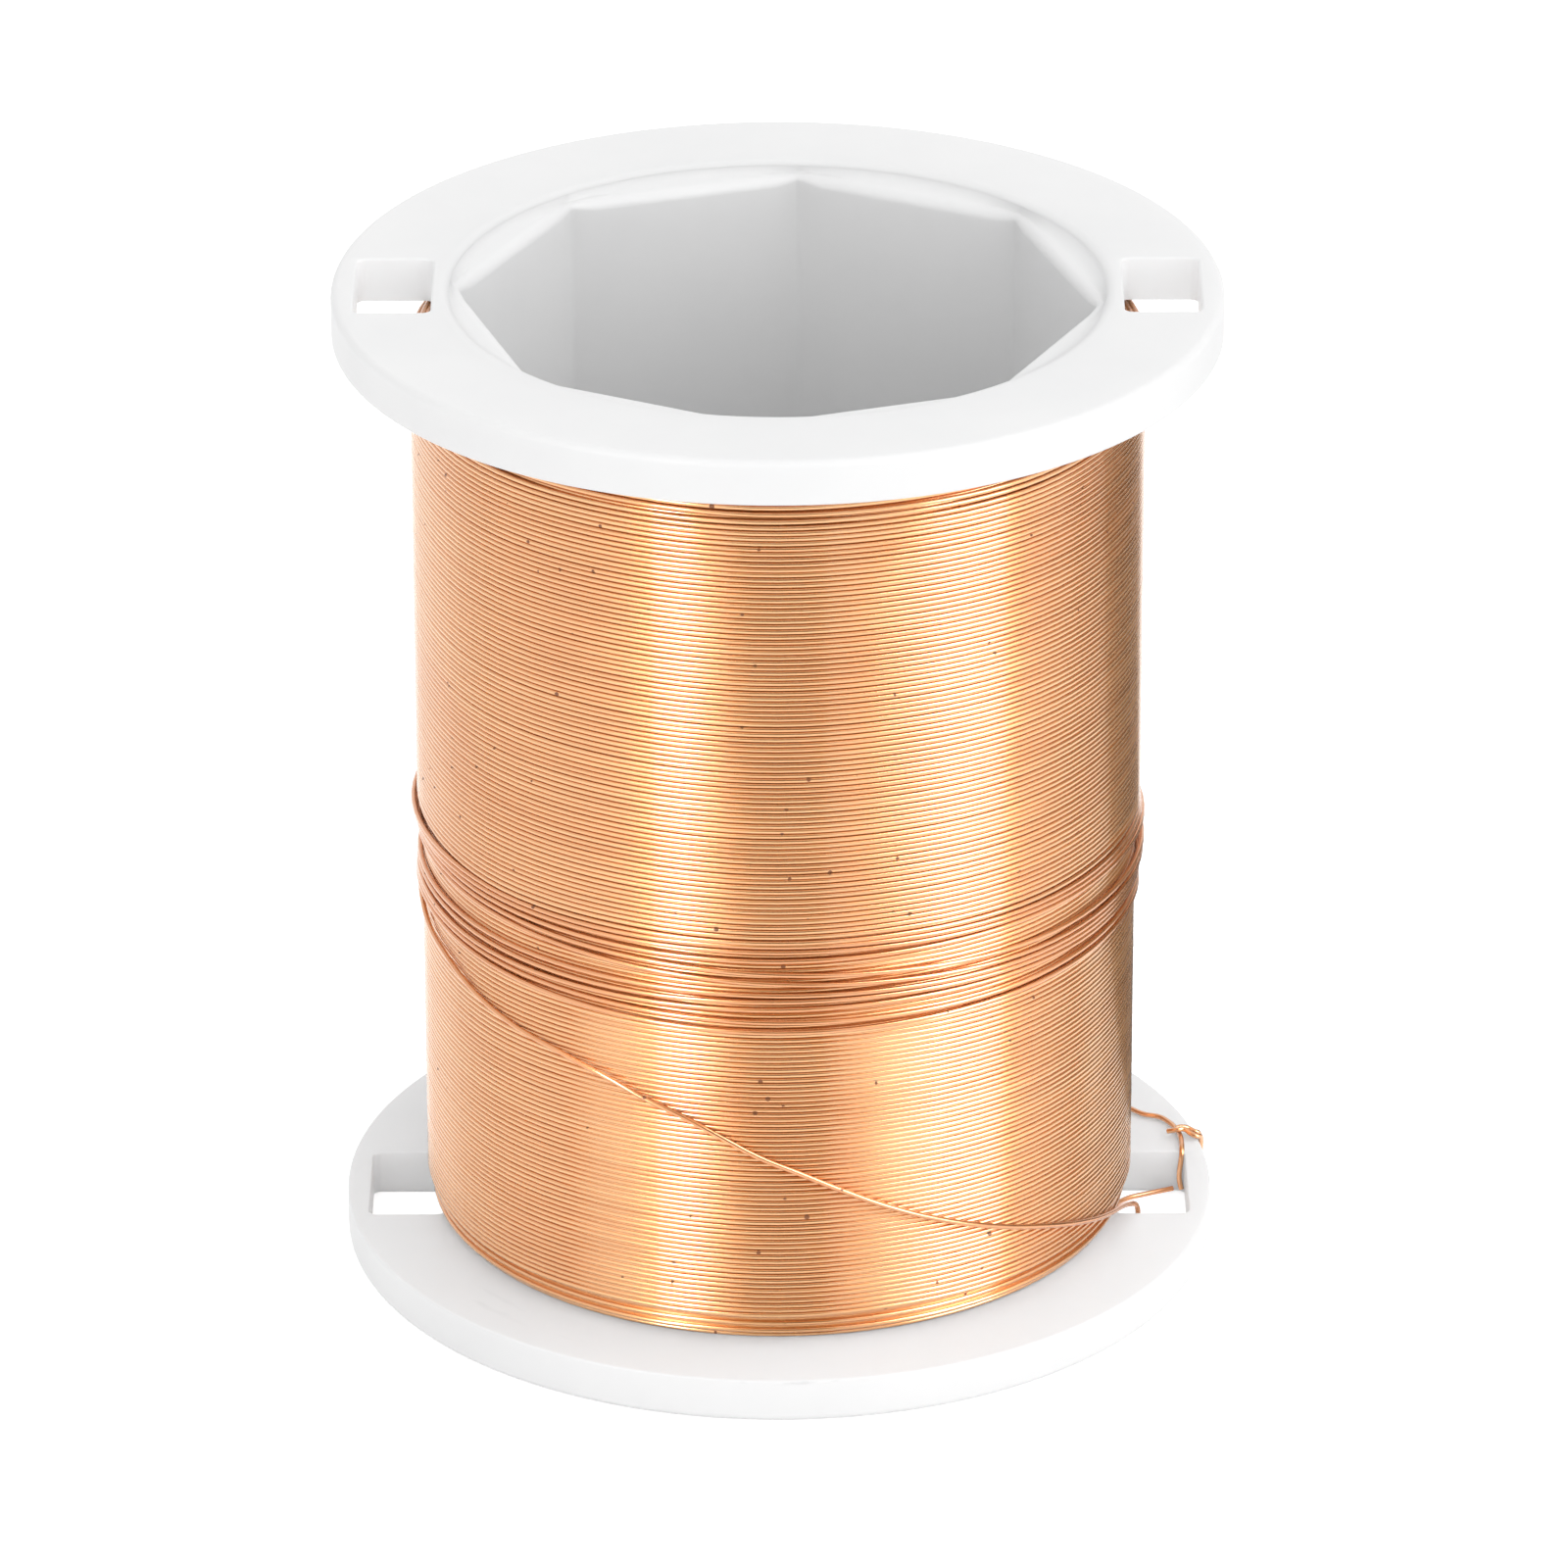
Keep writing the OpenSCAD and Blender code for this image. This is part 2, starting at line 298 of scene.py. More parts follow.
def makePlastic(name, look):
    material, nodes, links, shader = newMaterial(name)
    clouds = addNoise(nodes, links, placeIn(nodes, links, look["cloudScale"]), 4.0)
    cloudFactor = addRange(nodes, links, clouds, *look["cloudRange"], 0.0, 1.0)
    base = addMix(nodes, links, cloudFactor, look["pale"], look["milky"])
    for scuff in scuffs:
        inside = placeIn(
            nodes, links, [1 / (s * mm) for s in scuff["size"]], scuff["middle"], scuff["turnDeg"]
        )
        reach = addNode(nodes, "ShaderNodeVectorMath", {"operation": "LENGTH"})
        links.new(inside, reach.inputs[0])
        fade = addRange(nodes, links, reach.outputs["Value"], *look["scuffFade"], 1.0, 0.0)
        grainScale = (scuff["grain"] / look["scuffStretch"], scuff["grain"], scuff["grain"])
        grainPlace = placeIn(nodes, links, grainScale, scuff["middle"], scuff["turnDeg"])
        rubs = addNoise(nodes, links, grainPlace, 3.0)
        marks = addRange(nodes, links, rubs, *look["scuffRange"], 0.0, look["scuffShare"])
        scuffFactor = addMath(nodes, links, "MULTIPLY", fade, marks)
        base = addMix(nodes, links, scuffFactor, base, look["scuff"])
    # painted light and shade: bounced rays see the plastic in its bounce colour, not its own
    path = addNode(nodes, "ShaderNodeLightPath")
    base = addMix(nodes, links, path.outputs["Is Diffuse Ray"], base, (look["paintedBounce"],) * 3)
    links.new(base, shader.inputs["Base Color"])
    roughness = (look["roughLow"], look["roughHigh"])
    rough = addRange(nodes, links, clouds, *look["roughRange"], *roughness)
    links.new(rough, shader.inputs["Roughness"])
    shader.inputs["Subsurface Weight"].default_value = look["through"]
    shader.inputs["Subsurface Radius"].default_value = (1.0, 1.0, 1.0)
    shader.inputs["Subsurface Scale"].default_value = look["throughDepth"] * mm
    grain = addNoise(nodes, links, placeIn(nodes, links, look["grainScale"]), 2.0)
    bumpInputs = {"Strength": look["bump"], "Distance": look["bumpDepth"] * mm}
    bump = addNode(nodes, "ShaderNodeBump", inputs=bumpInputs)
    links.new(grain, bump.inputs["Height"])
    links.new(bump.outputs["Normal"], shader.inputs["Normal"])
    return material


copper = makeCopper("enamelledCopper", copperLook)
endCopper = makeCopper("enamelledCopperEnds", endLook)
tailShadeCopper = makeCopper("enamelledCopperTailShade", tailShadeLook)
plastic = makePlastic("milkyPlastic", plasticLook)
hubShadePlastic = makePlastic("milkyPlasticHubShade", hubShadePlasticLook)
print("materials made")

# The finish end leaves the last loose turn, crosses the full layers and drops into the slot.
# Points on the winding are an angle and a height, the others are x, y, z, all in mm.
finishTail = {
    "crossing": [
        (180, 23.4), (187, 22.9), (195, 22.2), (203, 21.8), (209, 21.3), (215, 20.8),
        (221, 20.4), (226, 20.1), (232, 19.8), (237, 19.4), (243, 18.8), (249, 18),
        (255, 17.2), (261, 16.1), (267, 14.9), (273, 13.9), (280, 12.6), (287, 11.3),
        (296, 9.8), (307, 8.2), (318, 6.8), (330, 5.3), (338, 4.4),
    ],
    "end": [
        (20.5, -6, 3.8), (21, -4.9, 3.4), (21.35, -4.4, 3.15), (21.5, -4.2, 2.8),
        (21.5, -4.2, 1.6), (21.5, -4.2, 0.7), (21.4, -4, 0.4), (21.1, -3.2, 0.3),
        (20.4, -1.6, 0.3), (20.3, -0.2, 0.3), (20.4, 1, 0.3), (21, 1.8, 0.3),
        (22.3, 2.5, 0.3), (23.9, 3.2, 0.3),
    ],
    "length": 0.077,
}
# The start end comes out at the foot of the winding and crosses the flange to the slot's corner.
# Points round the winding are an angle and a distance out from the full layers.
footH = spool["lowerFace"] + wireR + wire["gap"]
startTail = {
    "foot": [
        (80, -0.62), (78, -0.25), (75, 0.25), (71, 0.55), (65, 0.6), (58, 0.56), (52, 0.62),
        (46, 0.8),
    ],
    "end": [
        (18.3, 11.7, footH), (20.1, 9.9, footH), (21.5, 8.75, footH), (22.25, 8.05, footH),
        (23.2, 7.65, footH), (23.7, 7.05, footH), (24.15, 6.1, footH), (24.37, 5.2, footH),
        (24.43, 4.2, footH), (24.43, 3.6, footH - 0.03), (24.41, 3.27, spool["lowerFace"] - 0.1),
        (24.36, 3.22, 2.1), (24.28, 3.22, 1.25), (24.33, 3.2, 0.65), (24.42, 3.1, 0.3),
    ],
    "length": 0.032,
}


def wireCurve(name, points, material):
    # a round wire through the points, in mm
    curve = bpy.data.curves.new(name, "CURVE")
    curve.dimensions = "3D"
    curve.bevel_depth = wireR * mm
    curve.bevel_resolution = wire["roundSteps"]
    curve.resolution_u = wire["lengthSteps"]
    curve.use_fill_caps = True
    spline = curve.splines.new("BEZIER")
    spline.bezier_points.add(len(points) - 1)
    for knot, point in zip(spline.bezier_points, points):
        knot.co = Vector(point) * mm
        knot.handle_left_type = "AUTO"
        knot.handle_right_type = "AUTO"
    curve.materials.append(material)
    piece = bpy.data.objects.new(name, curve)
    bpy.context.scene.collection.objects.link(piece)
    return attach(piece, "root")


finishPoints = [polar(a, tailSeatR, h) for a, h in finishTail["crossing"]] + finishTail["end"]
finishPiece = wireCurve("finishTail", finishPoints, tailShadeCopper)
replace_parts(finishPiece, "finish_tail")
startPoints = [polar(a, fullR + out, footH) for a, out in startTail["foot"]] + startTail["end"]
startPiece = wireCurve("startTail", startPoints, endCopper)
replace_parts(startPiece, "start_tail")
print("wire ends made")


def meshPiece(name, places, faces, material):
    # a smooth piece from places in mm
    mesh = bpy.data.meshes.new(name)
    mesh.from_pydata([tuple(c * mm for c in p) for p in places], [], faces)
    mesh.polygons.foreach_set("use_smooth", [True] * len(mesh.polygons))
    mesh.materials.append(material)
    mesh.update()
    piece = bpy.data.objects.new(name, mesh)
    bpy.context.scene.collection.objects.link(piece)
    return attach(piece, "root")


def weighNormals(piece):
    # flat faces stay flat beside their rounded edges
    weights = piece.modifiers.new("flatFaces", "WEIGHTED_NORMAL")
    weights.mode = "FACE_AREA"
    weights.weight = 80  # the larger faces count for more
    weights.keep_sharp = True


def sharpenRings(piece, rings):
    # keep the shading apart across rings, given as a radius and a height in mm
    reach = 0.002
    for edge in piece.data.edges:
        ends = [piece.data.vertices[v].co / mm for v in edge.vertices]
        for radius, height in rings:
            away = [abs(math.hypot(e.x, e.y) - radius) + abs(e.z - height) for e in ends]
            if max(away) < reach:
                edge.use_edge_sharp = True


def ringQuads(firstRing, secondRing, count):
    # faces between two closed rings of points
    quads = []
    for i in range(count):
        j = (i + 1) % count
        quads.append((firstRing + i, firstRing + j, secondRing + j, secondRing + i))
    return quads


flangeLook = {
    "rimRound": (0.45, 0.15),  # at the outer face and at the winding's side
    "holeFlare": (0.6, 0.2),  # how wide and how deep the hole opens at the outer face
    "holeRound": 0.1,
    "slotRound": (0.15, 0.1),
    "roundSteps": 5,
    "rimSteps": 256,
    "holeSteps": 192,
    "slotLong": 8.1,
    "slotRimBand": 1.4,
    "slotHubBand": 0.95,
    "slotCorner": 0.5,
    "cornerSteps": 6,
    "lowerShift": 0.6,
}


def circleOutline(radius, steps, outward):
    # a function from an inset to the circle's points; outward is 1 where plastic lies inside
    def at(inset):
        r = radius - outward * inset
        return [polar(360 * i / steps, r)[:2] for i in range(steps)]

    return at


def slotOutline(centreX, centreY, wide, long, corner, steps):
    def at(inset):
        halfX = wide / 2 - corner
        halfY = long / 2 - corner
        points = []
        for k, (sx, sy) in enumerate(((1, 1), (-1, 1), (-1, -1), (1, -1))):
            for i in range(steps + 1):
                x, y, _ = polar(90 * (k + i / steps), corner + inset)
                points.append((centreX + sx * halfX + x, centreY + sy * halfY + y))
        return points

    return at


def roundedProfile(low, high, lowRound, highRound, steps):
    # insets and heights up a wall with both its edges rounded
    turns = [math.pi / 2 * i / steps for i in range(steps + 1)]
    foot = [(lowRound * (1 - math.sin(a)), low + lowRound * (1 - math.cos(a))) for a in turns]
    head = [(highRound * (1 - math.sin(a)), high - highRound * (1 - math.cos(a))) for a in turns]
    return foot + head[::-1]


def flaredProfile(low, high, flare, rounding, steps, upsideDown):
    # the same up the hole's wall, which opens out softly at the outer face
    wide, deep = flare
    outer, inner = (low, high) if upsideDown else (high, low)
    up = 1 if upsideDown else -1
    shares = [i / steps for i in range(steps + 1)]
    mouth = [(wide * (1 - share), outer + up * deep * share**2) for share in shares]
    edge = []
    for share in shares:
        a = math.pi / 2 * share
        edge.append((rounding * (1 - math.sin(a)), inner - up * rounding * (1 - math.cos(a))))
    wall = mouth + edge[::-1]
    return wall if upsideDown else wall[::-1]


def makeFlange(name, low, high, slotShift, upsideDown, node, look):
    slotIn = spool["seatR"] + look["slotHubBand"]
    slotOut = spool["flangeR"] - look["slotRimBand"]
    slotMiddle = (slotIn + slotOut) / 2
    slotWide = slotOut - slotIn
    rim = circleOutline(spool["flangeR"], look["rimSteps"], 1)
    hole = circleOutline(spool["seatR"], look["holeSteps"], -1)
    outlines = [(rim, look["rimRound"], 1), (hole, None, -1)]
    for side in (-1, 1):
        slot = slotOutline(
            side * slotMiddle,
            -slotShift,
            slotWide,
            look["slotLong"],
            look["slotCorner"],
            look["cornerSteps"],
        )
        outlines.append((slot, look["slotRound"], -1))
    places = []
    faces = []
    flat = []
    edges = []
    owners = []
    lowAt = []
    highAt = []
    for part, (outline, rounding, outward) in enumerate(outlines):
        rings = []
        steps = look["roundSteps"]
        if rounding is None:
            flare, inner = look["holeFlare"], look["holeRound"]
            profile = flaredProfile(low, high, flare, inner, steps, upsideDown)
        else:
            lowRound, highRound = rounding if upsideDown else rounding[::-1]
            profile = roundedProfile(low, high, lowRound, highRound, steps)
        for inset, height in profile:
            points = outline(inset)
            rings.append(len(places))
            places += [(x, y, height) for x, y in points]
        count = len(points)
        for firstRing, secondRing in zip(rings, rings[1:]):
            quads = ringQuads(firstRing, secondRing, count)
            faces += quads if outward == 1 else [q[::-1] for q in quads]
        start = len(flat)
        for i in range(count):
            flat.append(Vector(places[rings[-1] + i][:2]))
            owners.append(part)
            lowAt.append(rings[0] + i)
            highAt.append(rings[-1] + i)
            edges.append((start + i, start + (i + 1) % count))
    # the two flat faces; a triangle with all its corners on one opening lies inside it
    touching = 1e-7
    _, _, triangles, origins, _, _ = delaunay_2d_cdt(flat, edges, [], 1, touching)
    for triangle in triangles:
        corners = [origins[i][0] for i in triangle]
        around = {owners[i] for i in corners}
        if len(around) == 1 and around != {0}:
            continue
        faces.append(tuple(highAt[i] for i in corners))
        faces.append(tuple(lowAt[i] for i in reversed(corners)))
    piece = meshPiece(name, places, faces, plastic)
    deep = look["holeFlare"][1]
    sharpenRings(piece, [(spool["seatR"], low + deep if upsideDown else high - deep)])
    weighNormals(piece)
    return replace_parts(piece, node)


upperFlange = ("upperFlange", spool["upperFace"], spool["height"], 0.0, False)
lowerFlange = ("lowerFlange", 0.0, spool["lowerFace"], flangeLook["lowerShift"], True)
makeFlange(*upperFlange, "upper_flange", flangeLook)
makeFlange(*lowerFlange, "lower_flange", flangeLook)
print("flanges made")

hubLook = {
    "sides": 8,
    "cornerR": 18.6,
    "turnDeg": -4.0,
    "cornerRound": 0.7,
    "cornerSteps": 6,
    "sideSteps": 12,
    "edgeRound": 0.7,
    "cornerShare": 0.7,  # how much of the room beside the bore the edge may take
    "roundSteps": 7,
    "endLift": 0.2,  # how far the end stands up between its two soft edges
    "seatBite": 0.1,  # how far it goes on inside the flange
    "seatSteps": 8,
}


def boreOutline(look, inset):
    # the eight-sided bore, let out by inset
    sides = look["sides"]
    half = 180 / sides
    flatR = look["cornerR"] * math.cos(math.radians(half))
    reach = (flatR - look["cornerRound"]) / math.cos(math.radians(half))
    points = []
    for k in range(sides):
        corner = look["turnDeg"] + 2 * half * k
        cx, cy, _ = polar(corner, reach)
        for i in range(look["cornerSteps"] + 1):
            turn = corner - half + 2 * half * i / look["cornerSteps"]
            x, y, _ = polar(turn, look["cornerRound"] + inset)
            points.append((cx + x, cy + y))
        # straight run to where the next corner starts
        startX, startY = points[-1]
        nx, ny, _ = polar(corner + 2 * half, reach)
        x, y, _ = polar(corner + half, look["cornerRound"] + inset)
        for i in range(1, look["sideSteps"]):
            share = i / look["sideSteps"]
            points.append(
                (startX + (nx + x - startX) * share, startY + (ny + y - startY) * share)
            )
    return points


def makeHub(look):
    low = spool["endRecess"] - look["endLift"]
    high = spool["height"] - low
    rise = low - flangeLook["holeFlare"][1]
    bore = boreOutline(look, 0.0)
    letOut = boreOutline(look, 1.0)
    headings = [math.degrees(math.atan2(y, x)) for x, y in bore]
    count = len(headings)
    rooms = [spool["seatR"] - math.hypot(x, y) for x, y in bore]
    rounds = [min(look["edgeRound"], look["cornerShare"] * room) for room in rooms]

    def edgeRing(turn, end, up):
        # the bore's soft edge, which is smaller at its corners
        ring = []
        for (x, y), (outX, outY), r in zip(bore, letOut, rounds):
            share = r * (1 - math.sin(turn))
            height = end + up * r * (1 - math.cos(turn))
            ring.append((x + share * (outX - x), y + share * (outY - y), height))
        return ring

    turns = [math.pi / 2 * i / look["roundSteps"] for i in range(look["roundSteps"] + 1)]
    rings = [edgeRing(turn, low, 1) for turn in turns]
    rings += [edgeRing(turn, high, -1) for turn in reversed(turns)]
    # from the bore's edge up to the flange, in one soft run that ends at the flare's slope
    wide, deep = flangeLook["holeFlare"]
    slope = 2 * deep / wide
    runs = [spool["seatR"] - math.hypot(x, y) for x, y, _ in rings[-1]]
    lip = []
    for i in range(1, look["seatSteps"] + 1):
        t = i / look["seatSteps"]
        radii = [spool["seatR"] - run * (1 - t) for run in runs]
        ups = [rise * (3 - 2 * t) * t**2 + slope * run * (t - 1) * t**2 for run in runs]
        lip.append((radii, ups))
    bite = spool["seatR"] + look["seatBite"]
    lip.append(([bite] * count, [rise] * count))
    shoulders = [
        (spool["seatR"], spool["upperFace"]),
        (spool["hubR"], spool["upperFace"]),
        (spool["hubR"], spool["lowerFace"]),
        (spool["seatR"], spool["lowerFace"]),
    ]
    outside = [(radii, [high + up for up in ups]) for radii, ups in lip]
    outside += [([radius] * count, [height] * count) for radius, height in shoulders]
    outside += [(radii, [low - up for up in ups]) for radii, ups in reversed(lip)]
    for radii, heights in outside:
        rings.append([polar(*point) for point in zip(headings, radii, heights)])
    places = [p for ring in rings for p in ring]
    faces = []
    for i in range(len(rings)):
        j = (i + 1) % len(rings)
        faces += [q[::-1] for q in ringQuads(i * count, j * count, count)]
    piece = meshPiece("hubTube", places, faces, hubShadePlastic)
    sharpenRings(piece, shoulders + [(bite, high + rise), (bite, low - rise)])
    weighNormals(piece)
    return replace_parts(piece, "hub")


makeHub(hubLook)
print("hub made")

windingLook = {
    "steps": 96,
    "sides": 8,
    "facetDepth": 0.07,
    "looseFacets": 0.6,  # how much less of the facets shows in the loose turns
    "wanderR": 0.006,
    "wanderH": 0.006,
    "endGap": 0.02,  # between the turns at the ends and the plastic
    # turns from the upper flange, and their height, where a turn sits askew
    "topKnots": [
        (6.8, 55.97), (7.0, 55.88), (7.2, 55.80), (7.3, 55.66),
        (8.0, 55.30), (8.2, 55.26), (8.3, 55.30), (9, 54.97),
    ],
    "closeEnd": 28.9,
    "leaveH": 23.4,
    "footStart": 4.26,
    "underTop": 31.5,
    "underTurns": 12,  # turns of the layer below that show between the last layer's top turns
    "endTurns": 2,  # turns of the layers below that show through the upper slots
    "endTurnDeg": 40,  # from where one layer starts to where the next does
    # the layers below reach closer to the lower flange: height over it, and pitch
    "footLayers": [(0.18, 0.32), (0.55, 0.48)],
    "footTurns": 3,
    "footGap": 0.01,
    # how far each loose turn stands off at the left and the right, at an angle
    # that the first of them reaches after this share of a turn
    "sideLifts": [
        {
            "angle": 175,
            "first": 0.0,
            "lifts": (0.44, 0.34, 0.08, 0.05, 0.05, 0.05, 0.08, 0.12, 0.15, 0.20),
        },
        {
            "angle": 5,
            "first": 0.5,
            "lifts": (0.10, 0.22, 0.36, 0.34, 0.24, 0.12, 0.08, 0.05, 0.05, 0.05),
        },
    ],
    "sideReach": 42,  # degrees either way
    "backLift": 0.08,
    "leastLift": 0.02,
    "liftWander": 0.1,
    "looseShade": 0.75,  # how much of the painted groove shade the loose turns take all over
}
# Heights of the loose turns in mm, at these angles from the front.
looseAngles = (-90, -60, -30, 0, 30, 60)
looseTurns = [
    (28.40, 28.45, 28.45, 28.58, 28.36, 28.22),
    (28.06, 28.12, 28.12, 28.20, 28.04, 27.90),
    (27.70, 27.78, 27.62, 27.56, 27.70, 27.58),
    (27.34, 27.40, 27.10, 26.77, 26.20, 25.82),
    (26.98, 27.06, 26.56, 26.14, 25.60, 25.25),
    (25.40, 25.42, 25.45, 25.42, 25.22, 24.93),
    (24.98, 24.92, 24.74, 25.04, 24.90, 24.61),
    (24.42, 24.24, 24.40, 24.46, 24.54, 24.28),
    (24.08, 23.90, 23.80, 23.60, 23.55, 23.74),
    (23.74, 23.50, 23.20, 22.91, 23.12, 23.22),
]


def softWander(count, every, size):
    # a slow random line: one value every so many steps, joined smoothly
    knots = random.normal(0.0, size, count // every + 4)
    at = np.arange(count) / every
    i = at.astype(int)
    t = at - i
    a, b, c, d = knots[i], knots[i + 1], knots[i + 2], knots[np.minimum(i + 3, len(knots) - 1)]
    bend = (2 * a - 5 * b + 4 * c - d) * t**2 + (3 * b - a - 3 * c + d) * t**3
    return 0.5 * (2 * b + (c - a) * t + bend)


def facets(angles, look):
    # faint flats pressed through from the hub
    turned = hubLook["sides"] * (angles - hubLook["turnDeg"])
    return look["facetDepth"] * np.cos(np.radians(turned))


def swell(angles, middle, reach):
    # 1 at the middle angle, falling smoothly to 0 at reach degrees from it
    away = np.abs((angles - middle + 180) % 360 - 180)
    return 0.5 + 0.5 * np.cos(np.pi * np.clip(away / reach, 0, 1))


def woundTube(name, angles, radii, heights, tones, look, replaced, looseShades=0.0):
    # a wire wound along a helix; each section stands upright, a ring of sides round the wire
    count, sides = len(angles), look["sides"]
    a = np.radians(angles)
    outward = np.stack([np.cos(a), np.sin(a), np.zeros(count)], axis=1)
    middle = outward * radii[:, None]
    middle[:, 2] = heights
    turn = 2 * np.pi * np.arange(sides) / sides
    across = wireR * np.cos(turn)[None, :, None] * outward[:, None, :]
    upward = wireR * np.sin(turn)[None, :, None] * np.array([0.0, 0.0, 1.0])
    places = (middle[:, None, :] + across + upward).reshape(-1, 3)
    i = np.arange(count - 1)[:, None]
    k = np.arange(sides)[None, :]
    here, beside = i * sides + k, i * sides + (k + 1) % sides
    quads = np.stack([here, here + sides, beside + sides, beside], axis=2).reshape(-1, 4)
    faces = [tuple(q) for q in quads.tolist()]
    lastRing = (count - 1) * sides
    faces.append(tuple(range(sides)))
    faces.append(tuple(lastRing + s for s in reversed(range(sides))))
    piece = meshPiece(name, places.tolist(), faces, copper)
    tone = piece.data.attributes.new("turnTone", "FLOAT", "POINT")
    tone.data.foreach_set("value", np.repeat(tones, sides).astype(np.float32))
    # painted shade: deeper colour at the top and bottom of each turn, and all over the loose turns
    grooveShade = piece.data.attributes.new("paintedGrooveShade", "FLOAT", "POINT")
    looseShaded = np.repeat(looseShades * np.ones(count), sides)
    grooveShades = np.maximum(np.tile(np.sin(turn) ** 2, count), looseShaded)
    grooveShade.data.foreach_set("value", grooveShades.astype(np.float32))
    addBakeMap(piece, count, sides, look["steps"])
    if replaced:
        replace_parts(piece, *replaced)
    return piece


def addBakeMap(piece, count, sides, steps):
    # a map with a row for each turn, so that the patterns bake along the wire
    layer = piece.data.uv_layers.new(name="OFBake")
    turns = math.ceil((count - 1) / steps)
    step = np.repeat(np.arange(count - 1), sides)
    side = np.tile(np.arange(sides), count - 1)
    u0 = (step % steps) / steps
    u1 = u0 + 1 / steps
    v0 = (step // steps + side / sides) / (turns + 1)
    v1 = (step // steps + (side + 1) / sides) / (turns + 1)
    # corners in the order that the faces list them
    wall = np.stack([u0, v0, u1, v0, u1, v1, u0, v1], axis=1).reshape(-1)
    flat = np.zeros(len(piece.data.loops) * 2)
    flat[: wall.size] = wall
    # the wire's two cut faces lie in the last row
    placesInRow = 20
    capReach = (0.02, 0.3 / (turns + 1))
    capAngles = 2 * np.pi * np.arange(sides) / sides
    for cap, start in enumerate((wall.size, wall.size + 2 * sides)):
        middle = ((cap + 0.5) / placesInRow, (turns + 0.5) / (turns + 1))
        flat[start : start + 2 * sides : 2] = middle[0] + capReach[0] * np.cos(capAngles)
        flat[start + 1 : start + 2 * sides : 2] = middle[1] + capReach[1] * np.sin(capAngles)
    layer.data.foreach_set("uv", flat.astype(np.float32))


def topTurnH(look):
    # the height of the first turn under the upper flange
    return spool["upperFace"] - wireR - look["endGap"]


def windLastLayer(look):
    # close turns down from the upper flange, then the loose ones, to where the end leaves
    steps = look["steps"]
    topCount, topEnd = look["topKnots"][-1]
    wound = topCount + round((topEnd - look["closeEnd"]) / wire["diameter"])
    turns = wound + 1 + len(looseTurns)
    # knots are a count of turns and a height
    knots = [(0, topTurnH(look))] + look["topKnots"] + [(wound, look["closeEnd"])]
    for i, heights in enumerate(looseTurns):
        for angle, height in zip(looseAngles, heights):
            knots.append((wound + 1 + i + (angle + 90) / 360, height))
    knots.append((turns, look["leaveH"]))
    count = turns * steps + 1
    at = np.arange(count) / steps
    heights = np.interp(at, [k[0] for k in knots], [k[1] for k in knots])
    window = np.hanning(steps // 6 + 3)[1:-1]  # smooths over a sixth of a turn
    padded = np.pad(heights, len(window) // 2, mode="reflect", reflect_type="odd")
    heights = np.convolve(padded, window / window.sum(), mode="valid")
    loose = np.clip(at - wound, 0, 1)
    ease = np.clip((count - 1 - np.arange(count)) / (steps / 4), 0, 1)  # over the last quarter turn
    heights = heights + softWander(count, steps // 3, look["wanderH"]) * ease
    angles = 180 - 360 * turns + 360 * at
    lift = look["backLift"] * swell(angles, 90, 90)
    for side in look["sideLifts"]:
        passes = wound + side["first"] + np.arange(len(side["lifts"])) + 1
        stood = np.interp(at, passes, side["lifts"])
        lift = lift + stood * swell(angles, side["angle"], look["sideReach"])
    wander = softWander(count, steps // 2, look["liftWander"])
    lift = lift * (1 - look["liftWander"] + wander) + look["leastLift"]
    radii = lastTurnR + softWander(count, steps // 5, look["wanderR"]) * (1 + loose)
    radii = radii + facets(angles, look) * (1 - look["looseFacets"] * loose) + loose * lift
    radii = tailSeatR + (radii - tailSeatR) * ease
    tones = np.repeat(random.random(turns + 1), steps)[:count]
    # painted shade all over the loose turns
    looseShades = look["looseShade"] * loose
    return woundTube("lastLayer", angles, radii, heights, tones, look, ["outer_turns"], looseShades)


def windFullLayer(look):
    # the full layer that shows below the last one, wound up from the lower flange
    steps = look["steps"]
    turns = round((look["underTop"] - look["footStart"]) / wire["diameter"])
    count = turns * steps + 1
    at = np.arange(count) / steps
    heights = look["footStart"] + (look["underTop"] - look["footStart"]) * at / turns
    heights = heights + softWander(count, steps // 3, look["wanderH"])
    angles = 90 + 360 * at
    radii = fullTurnR + softWander(count, steps // 5, look["wanderR"]) + facets(angles, look)
    tones = np.repeat(random.random(turns + 1), steps)[:count]
    return woundTube("fullLayer", angles, radii, heights, tones, look, ["low_turns", "wire_core"])


